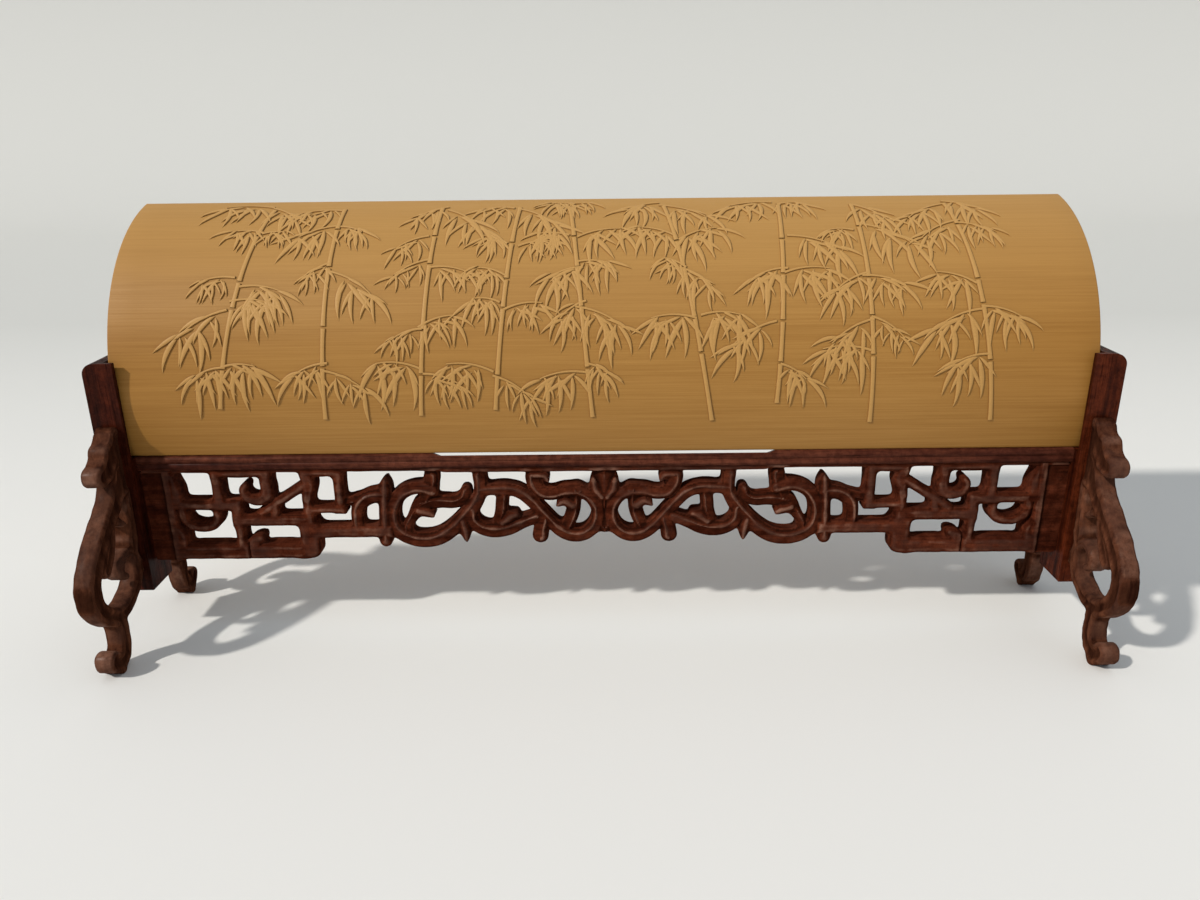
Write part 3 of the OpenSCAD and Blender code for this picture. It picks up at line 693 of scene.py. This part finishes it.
scroll_straps = [
    [(79.8, 36.2, 4), (79.9, 40.2, 4.2), (79.3, 43.6, 4.4), (77.2, 46.1, 4.8), (74, 47.4, 4.8), (70.6, 47.4, 4.2)],
    [(79.4, 46.4, 3), (83.6, 45.4, 2.6)],
    [(69.9, 53.4, 1.2), (70.3, 50.4, 4.4), (70.8, 46, 3.6), (71, 40, 4), (71.2, 35, 4.6), (71.4, 31.6, 4.4)],
    [(55.4, 49, 4.2), (58.4, 50, 4.2), (61.8, 49.8, 4.2), (65.4, 47.9, 4.4), (67.9, 44, 4.6), (68.6, 39.6, 4.8),
     (67.2, 35.4, 5), (63.6, 32.7, 5.2), (58.8, 31.7, 5.4), (53.6, 32.8, 5.4), (49, 36, 5.2), (45.1, 40.1, 5),
     (41.9, 44, 4.8), (39.9, 47.8, 4.2), (39.6, 51.2, 4.2), (39.8, 54.2, 4.6)],
    [(55.2, 54, 5), (55.4, 52, 5), (56.4, 49, 4.6), (57.6, 46, 3.4)],
    [(63.6, 33.6, 3.4), (63.9, 36.6, 3.2), (62.2, 39.8, 3.6), (60, 42.6, 4.4), (56.6, 44.6, 4.8), (52.4, 45, 4.6),
     (48.4, 44.8, 4.4), (45.4, 46.2, 4.2), (44.4, 48.8, 3.6)],
    [(60, 42.4, 3.4), (57.4, 41.6, 3.2), (55.2, 40.6, 1.4)],
    [(58.6, 45.4, 2.6), (60, 45, 2.8), (61, 43.6, 2.8), (61.2, 41.8, 3)],
    [(46, 38.4, 3.4), (45.2, 34.8, 4), (44.9, 31.8, 1.3)],
    [(43, 42, 4.2), (42.6, 38.6, 4.4), (40.2, 36, 4.8), (36, 34.9, 5.2), (31.4, 35.6, 5), (27, 37.5, 4.4),
     (22, 39.6, 3.6)],
    [(32.4, 48.6, 3.6), (33, 45, 4.2), (33.4, 41.6, 4), (34.6, 38.4, 3.4)],
    [(33, 37.6, 3.6), (30.6, 39.6, 4.2), (28.6, 40.6, 2.4)],
    [(39.8, 49, 3.6), (34.6, 49.4, 4), (30, 49.2, 4.2), (26.4, 47.8, 4.2), (23.2, 44.8, 4.2), (19.8, 40.8, 4.2),
     (16.6, 37, 4.4), (13.4, 34.2, 4.8), (10, 33, 5), (6.4, 33.6, 4.8), (3.6, 36, 4.6), (2.2, 39.6, 4.4),
     (2.5, 43.4, 4.2), (4.9, 46.8, 4.2), (8.6, 48.8, 4.2)],
    [(8.4, 48.8, 4.2), (12.6, 48.7, 4.2), (16.6, 47.6, 4.4), (20, 48.2, 4.6), (22.2, 51, 5), (22.6, 53.6, 5.4)],
    [(9.6, 48.4, 3.6), (9.8, 44.6, 4.6), (10.2, 41, 4.4), (11.4, 37.6, 4), (12.8, 34.6, 3)],
    [(10.4, 43.6, 2.6), (13, 45, 2.4), (15.2, 43.8, 1.2)],
    [(0, 46.4, 7.6), (0, 50.4, 9.2), (0, 53, 8.2), (0, 54.3, 7.2)],
    [(19.6, 38.6, 3.6), (20.6, 35.6, 4.8), (20.9, 33, 5.4)],
    [(22.4, 54.2, 3), (19.2, 54, 3), (17.9, 52.4, 1.4)], [(0, 36.8, 6.4), (0, 41, 6.6), (0, 46, 7.4)],
    [(0.9, 46.6, 2.2), (2.8, 49.2, 3.4), (3.5, 52.4, 1.3)]]
# Numbers of the scroll straps that pass under others, and of those that are leaves.
under_straps = {1, 4, 5, 7, 10, 14, 16, 19}
leaf_straps = {2, 6, 8, 11, 15, 16, 18, 20}
print("apron ornament:", len(fret_bars), "bars,", len(fret_hooks) + len(scroll_straps), "straps on each side")

# %% Where the apron is wood, and how deep each part is cut
apron_step = 0.36
columns = 2 * round(apron_half / apron_step) + 1
rows = round((apron_top - apron_bottom) / apron_step) + 1
apron_x, apron_z = np.meshgrid(
    np.linspace(-apron_half, apron_half, columns), np.linspace(apron_bottom, apron_top, rows))
out = np.abs(apron_x)
heel_end, heel_top = 99.2, 38
corner_x, corner_z, corner_round = 96, 28.6, 3.4
heel = np.minimum(heel_end - out, np.minimum(apron_z - apron_bottom, heel_top - apron_z))
in_corner = (out < corner_x) & (apron_z < corner_z)
rounded = corner_round - np.hypot(out - corner_x, apron_z - corner_z)
heel = np.minimum(heel, np.where(in_corner, rounded, out - (corner_x - corner_round)))
fret = soft_union([from_bar(out, apron_z, *bar) for bar in fret_bars] + [heel], 0.5)
cuts = [(fret, 0.75 * round_edge(fret, 1.8))]
for strap in fret_hooks:
    inside = from_strap(out, apron_z, strap)[0]
    cuts.append((inside, 0.75 * round_edge(inside, 1.6)))
scroll_drop, under_depth = 0.5, 0.7
for number, strap in enumerate(scroll_straps):
    inside, across, half = from_strap(out, apron_z + scroll_drop, strap)
    depth = roofed(across, half) if number in leaf_straps else ridged(across, half)
    cuts.append((inside, depth + under_depth * (number in under_straps)))
block_width, border_end, border_depth = 9.3, 6.6, 0.8
block = out - (apron_half - block_width)
border = np.minimum(block, (apron_half - border_end) - out)
cuts.append((block, np.where(border > 0, round_edge(border, border_depth), border_depth)))
strip_half = 52
strip = np.where(out < strip_half, 1.5, 1.0) + apron_z - apron_top
cuts.append((strip, round_edge(np.maximum(strip, 0), 0.5) + 0.3))
apron_inside = soft_union([inside for inside, depth in cuts], 0.3)
print("apron grid:", apron_inside.shape, "of which wood:", int((apron_inside >= 0).sum()))

# %% Carve the apron
uncut, gap_depth = 9.0, 1.4
apron_depth = np.min([np.where(inside >= -0.2, depth, uncut) for inside, depth in cuts], axis=0)
apron_depth = np.where(apron_depth == uncut, gap_depth, apron_depth)
saw_x, saw_top = 116.0, 31.5
saw_line = np.exp(-((out - saw_x) / 0.3) ** 2) * (apron_z < saw_top)
apron_depth = np.maximum(apron_depth + 0.7 * saw_line + hand_cut(apron_x, apron_z, rng), 0.0)
# Painted highlight and shade: a point that lies above its neighbours gets a high value, painted paler as highlight;
# one that lies below them or deep in the board gets a low value, painted dark as shade. The rims of the walls get a
# middle value, and the fret a little less.
pit = apron_depth - blurred(apron_depth, apron_inside > 0, 4)
apron_wear_and_shading = np.clip(0.62 - 1.2 * pit - 0.25 * apron_depth, 0, 1)
fret_from = 82
apron_wear_and_shading = np.where(np.abs(apron_inside) < 0.3, 0.55, apron_wear_and_shading) - 0.06 * (out > fret_from)


def apron_place(x, z, depth):
    """From the drawing to the row frame: depth runs back from the apron's front."""
    return np.stack([x * MM, apron_low.y + depth * MM, z * MM], -1)

apron = carved_board(
    "carved_apron", apron_x, apron_z, apron_inside, apron_depth, round_edge(np.maximum(apron_inside, 0), 0.6),
    apron_thickness, apron_wear_and_shading, apron_place, rosewood_carved, "stand")
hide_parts("apron_panel")

# %% [markdown]
# ## The scroll brackets
# Each post is held upright by a bracket in front and one behind, sawn in an S-scroll that ends in a curled foot. The
# rear ones stand out less. The same straps serve all four: the outward distance is squeezed for the rear pair. Both
# faces of the board have a rounded edge with a shallow hollow inside it. The edges are painted paler as highlight,
# and the hollow and the notches are painted dark as shade.

# %% The brackets' ornament
crest_tip, belly = (1.2, 71.8, 3), (27.8, 29.4, 6.4)
bracket_straps = [
    [crest_tip, (3, 68.4, 5.8), (5.8, 64.6, 7.2), (10.6, 61, 6)], [(1.5, 71.2, 3.4), (2.4, 70.7, 3.6)],
    [(4.6, 67, 4.6), (6.6, 66.8, 4.8)], [(8.6, 61.4, 6.2), (12.2, 61, 6.4)],
    [(3.2, 59, 6.6), (4.9, 54.8, 7.4), (7.8, 50.9, 6.6), (12.6, 47.1, 6.2), (18, 43, 6), (22.8, 38.7, 6),
     (26.4, 34, 6.2), belly, (26.8, 24.8, 6.2), (23.4, 20.6, 5.8), (18.8, 17.6, 5.6), (13.4, 17.4, 5),
     (8, 19.4, 4.6), (4, 22.6, 4.2), (2.2, 27, 4), (3.4, 31.4, 3.7), (7, 33.6, 3.4), (10.8, 32.2, 3.1),
     (12, 29, 2.9), (10, 27, 2.6)],
    [(17.4, 16, 5.4), (16.9, 12, 5), (17.1, 8.2, 5.2), (18.6, 4.8, 5.2)],
    [(18.8, 4.7, 5), (21.4, 3.4, 5.8)], [(21.8, 3.2, 6.2), (25, 4.8, 5.4)],
    [(13.4, 43.6, 3.6), (15, 40.4, 4.8), (17.6, 36.8, 5.8), (19.8, 34, 5.4)],
    [(9.4, 45.6, 3), (6.6, 43.6, 2.4), (5, 42.4, 1.2)], [(25, 6, 6.2), (25.01, 6, 6.2)],
    [(2.8, 32, 3.4), (2.4, 35.8, 5.6), (1.8, 38.6, 4.4), (1.6, 41.4, 5), (1, 44.6, 3.2), (0.8, 48, 3.4),
     (0.4, 51.4, 2)]]
# Flat seats against the post as (low, high, depth), and the flat of the foot's sole.
post_seats = [(51, 71.6, 4), (23.6, 29.2, 2)]
sole_out, sole_half, sole_top = 21.8, 1.5, 2.4
print("bracket ornament:", len(bracket_straps), "straps,", len(post_seats), "seats on the post")

# %% Carve the four brackets
bracket_step, bracket_rows = 0.36, 205
edge_radius, hollow_from, hollow_run, hollow_depth = 1.3, 1.1, 1.3, 0.65


def bracket(name, node, front):
    """One bracket: its reach comes from the node's box, and the straps are squeezed to that reach. The hollow starts
    a little inside the edge and deepens smoothly. The stored value is high along the edge, which is painted paler as
    highlight, and low in the hollow and in notches, which are painted dark as shade; a notch is where a point lies
    less far inside than its neighbours do on average."""
    low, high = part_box(node)
    reach = (high.y - low.y) / MM
    squeeze = (reach - belly[2] / 4) / (belly[0] + belly[2] / 4)
    out, up = np.meshgrid(
        np.linspace(0, reach, round(reach / bracket_step) + 1), np.linspace(0, high.z / MM, bracket_rows))
    squeezed = [[(d * squeeze, z, w * (1 + squeeze) / 2) for d, z, w in strap] for strap in bracket_straps]
    shapes = [from_strap(out, up, strap)[0] for strap in squeezed]
    shapes += [np.minimum(deep - out, np.minimum(up - low_z, high_z - up)) for low_z, high_z, deep in post_seats]
    shapes.append(np.minimum(sole_half - np.abs(out - sole_out * squeeze), sole_top - up))
    inside = soft_union(shapes, 0.15)
    filleted = soft_union(shapes, 0.5)
    hollow = np.clip((filleted - hollow_from) / hollow_run, 0, 1)
    hollow = hollow ** 2 * (3 - 2 * hollow)
    depth = round_edge(filleted, edge_radius)
    # Painted shade and highlight: notches, where the outline turns in, get a low value and are painted dark; the
    # rounded edge gets a high one, painted paler as highlight, and the hollow a low one, painted dark as shade.
    notch = blurred(inside, np.ones(inside.shape, bool), 3) - inside
    edge = np.maximum(np.clip(depth / 0.9, 0, 1), 0.64 * (1 - hollow))
    wear_and_shading = 0.12 + edge * (0.7 - np.clip(2.4 * notch, -0.18, 0.7))
    depth = np.maximum(depth + hollow_depth * hollow + hand_cut(out, up, rng), 0.0)
    seat_y, way = (high.y, -1) if front else (low.y, 1)

    def bracket_place(out, up, depth):
        """From the drawing to the row frame: out runs away from the post."""
        return np.stack([low.x + depth * MM, seat_y + way * out * MM, up * MM], -1)

    thickness = (high.x - low.x) / MM
    piece = carved_board(
        name, out, up, inside, depth, depth, thickness, wear_and_shading, bracket_place, rosewood_scroll, "stand")
    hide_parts(node)

for side in ("left", "right"):
    bracket(f"carved_front_{side}_bracket", f"front_{side}_bracket", True)
    bracket(f"carved_rear_{side}_bracket", f"rear_{side}_bracket", False)

# %% [markdown]
# ## Posts and rail
# The joinery is plain: square posts and a moulded rail. Their CAD shapes are right, but real edges are never knife
# sharp. A copy of each node is welded and given a small bevel, which catches the light along the edges.

# %% Soften the joinery's edges
sharp_edge = math.radians(35)


def softened_copy(name, node, material, width):
    """A copy of a CAD node with doubled points welded, flat triangles joined, and a bevel on its sharp edges."""
    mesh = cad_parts[node].data.copy()
    mesh.name = name
    shell = bmesh.new()
    shell.from_mesh(mesh)
    bmesh.ops.remove_doubles(shell, verts=shell.verts, dist=1e-6)
    bmesh.ops.dissolve_limit(shell, angle_limit=math.radians(1), verts=shell.verts, edges=shell.edges)
    shell.to_mesh(mesh)
    shell.free()
    mesh.materials.clear()
    mesh.materials.append(material)
    mesh.shade_smooth()
    mesh.set_sharp_from_angle(angle=sharp_edge)
    piece = bpy.data.objects.new(name, mesh)
    bpy.context.scene.collection.objects.link(piece)
    soft = piece.modifiers.new("soft_edges", "BEVEL")
    soft.width, soft.segments = width, 3
    soft.limit_method, soft.angle_limit = "ANGLE", sharp_edge
    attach(piece, "stand")
    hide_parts(node)
    print(name, "from", node, len(mesh.polygons), "faces")

softened_copy("soft_left_post", "left_post", rosewood_left_post, 0.5 * MM)
softened_copy("soft_right_post", "right_post", rosewood_right_post, 0.5 * MM)
softened_copy("soft_rail", "top_rail", rosewood_across, 0.3 * MM)
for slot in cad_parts["bracket_pins"].material_slots:
    slot.material = bamboo_pin

# %% [markdown]
# ## The stage
# A pale floor that rises into a pale wall keeps the eye on the object. The light is soft, mostly from the front left,
# as by a window, and the room behind is as pale to the eye as the wall. The camera stands where the photograph was
# taken from: a little above the stand, close in front.

# %% Floor
floor_half, floor_front, rise_y, rise_round, wall_top = 3, -2.5, 1.2, 0.8, 3.0
flat_steps, round_steps = 20, 40
floor_x = np.linspace(-floor_half, floor_half, 13)
turn = np.linspace(0, 1, round_steps)[1:] * math.pi / 2
sweep_y = np.concatenate([
    np.linspace(floor_front, rise_y, flat_steps), rise_y + rise_round * np.sin(turn), [rise_y + rise_round]])
sweep_z = np.concatenate([np.zeros(flat_steps), rise_round * (1 - np.cos(turn)), [wall_top]])
floor_points = np.stack(
    np.broadcast_arrays(floor_x[None, :], sweep_y[:, None], sweep_z[:, None]), -1).reshape(-1, 3)
floor_quads = grid_quads(len(sweep_y), len(floor_x), False)[:, ::-1]
floor_material, tree, shader = new_material("pale_floor", 0.8)
spot = add_node(tree, "ShaderNodeSeparateXYZ", Vector=object_place(tree)).outputs
# Painted shade: the floor's colour goes darker towards the back and up the wall, as the light falls off there.
shade_towards_back = ramp(tree, spot[1], 0.05, 0.5)
tree.links.new(mix_colours(tree, shade_towards_back, srgb(234, 233, 229), srgb(205, 205, 201)), shader.inputs["Base Color"])
mesh = bpy.data.meshes.new("floor")
mesh.from_pydata(floor_points.tolist(), [], floor_quads.tolist())
mesh.shade_smooth()
mesh.materials.append(floor_material)
floor = bpy.data.objects.new("floor", mesh)
bpy.context.scene.collection.objects.link(floor)
print("floor:", len(floor_points), "points")

# %% Light
world = bpy.data.worlds.new("soft_room")
bpy.context.scene.world = world
world.use_nodes = True
room = world.node_tree
sky = room.nodes["Background"]
way = add_node(room, "ShaderNodeTexCoord").outputs["Generated"]
height = add_node(room, "ShaderNodeSeparateXYZ", Vector=way).outputs[2]
overhead = add_node(room, "ShaderNodeMapRange", Value=height, To_Min=0.22, To_Max=0.72).outputs[0]
ray = add_node(room, "ShaderNodeLightPath").outputs
seen = math_node(room, "MAXIMUM", ray["Is Camera Ray"], ray["Is Transmission Ray"])
seen = math_node(room, "MAXIMUM", seen, ray["Is Glossy Ray"])
room.links.new(mix_colours(room, seen, srgb(228, 236, 246), srgb(214, 214, 209)), sky.inputs["Color"])
to_full = math_node(room, "SUBTRACT", 1.0, overhead)
room.links.new(math_node(room, "MULTIPLY_ADD", seen, to_full, overhead), sky.inputs["Strength"])


def placed(place, right, up, back):
    """The matrix of a lamp or camera: its place, and its own three axes as columns. It looks away from back."""
    return Matrix.Translation(place) @ Matrix(np.stack([right, up, back], -1).tolist()).to_4x4()

sun = bpy.data.lights.new("window", "SUN")
sun.energy, sun.angle, sun.color = 2.75, math.radians(3), (1.0, 0.96, 0.9)
window = bpy.data.objects.new("window", sun)
bpy.context.scene.collection.objects.link(window)
window_place = np.array([-0.654, -0.437, 0.616])
back = window_place / np.linalg.norm(window_place)
right = np.cross([0, 0, 1], back)
right /= np.linalg.norm(right)
window.matrix_world = placed(window_place.tolist(), right, np.cross(back, right), back)
print("light:", world.name, "and", window.name)

# %% Camera
pitch, yaw, roll = math.radians(19.67), math.radians(-0.24), math.radians(0.64)
forward = np.array([math.sin(yaw) * math.cos(pitch), math.cos(yaw) * math.cos(pitch), -math.sin(pitch)])
level = np.array([math.cos(yaw), -math.sin(yaw), 0])
down = np.cross(forward, level)
right = math.cos(roll) * level + math.sin(roll) * down
down = -math.sin(roll) * level + math.cos(roll) * down
sensor_width, picture_width, focal_pixels = 36, 1200, 935
camera_data = bpy.data.cameras.new("camera")
camera_data.sensor_width = sensor_width
camera_data.lens = sensor_width * focal_pixels / picture_width
camera_data.clip_start = 0.01
camera = bpy.data.objects.new("camera", camera_data)
bpy.context.scene.collection.objects.link(camera)
camera_place = (-0.1 * MM, rest_axis_y - 331.3 * MM, 161.1 * MM)
camera.matrix_world = placed(camera_place, right, -down, -forward)
bpy.context.scene.camera = camera
bpy.context.scene.view_settings.view_transform = "Standard"
print("camera at", [round(v, 4) for v in camera_place])
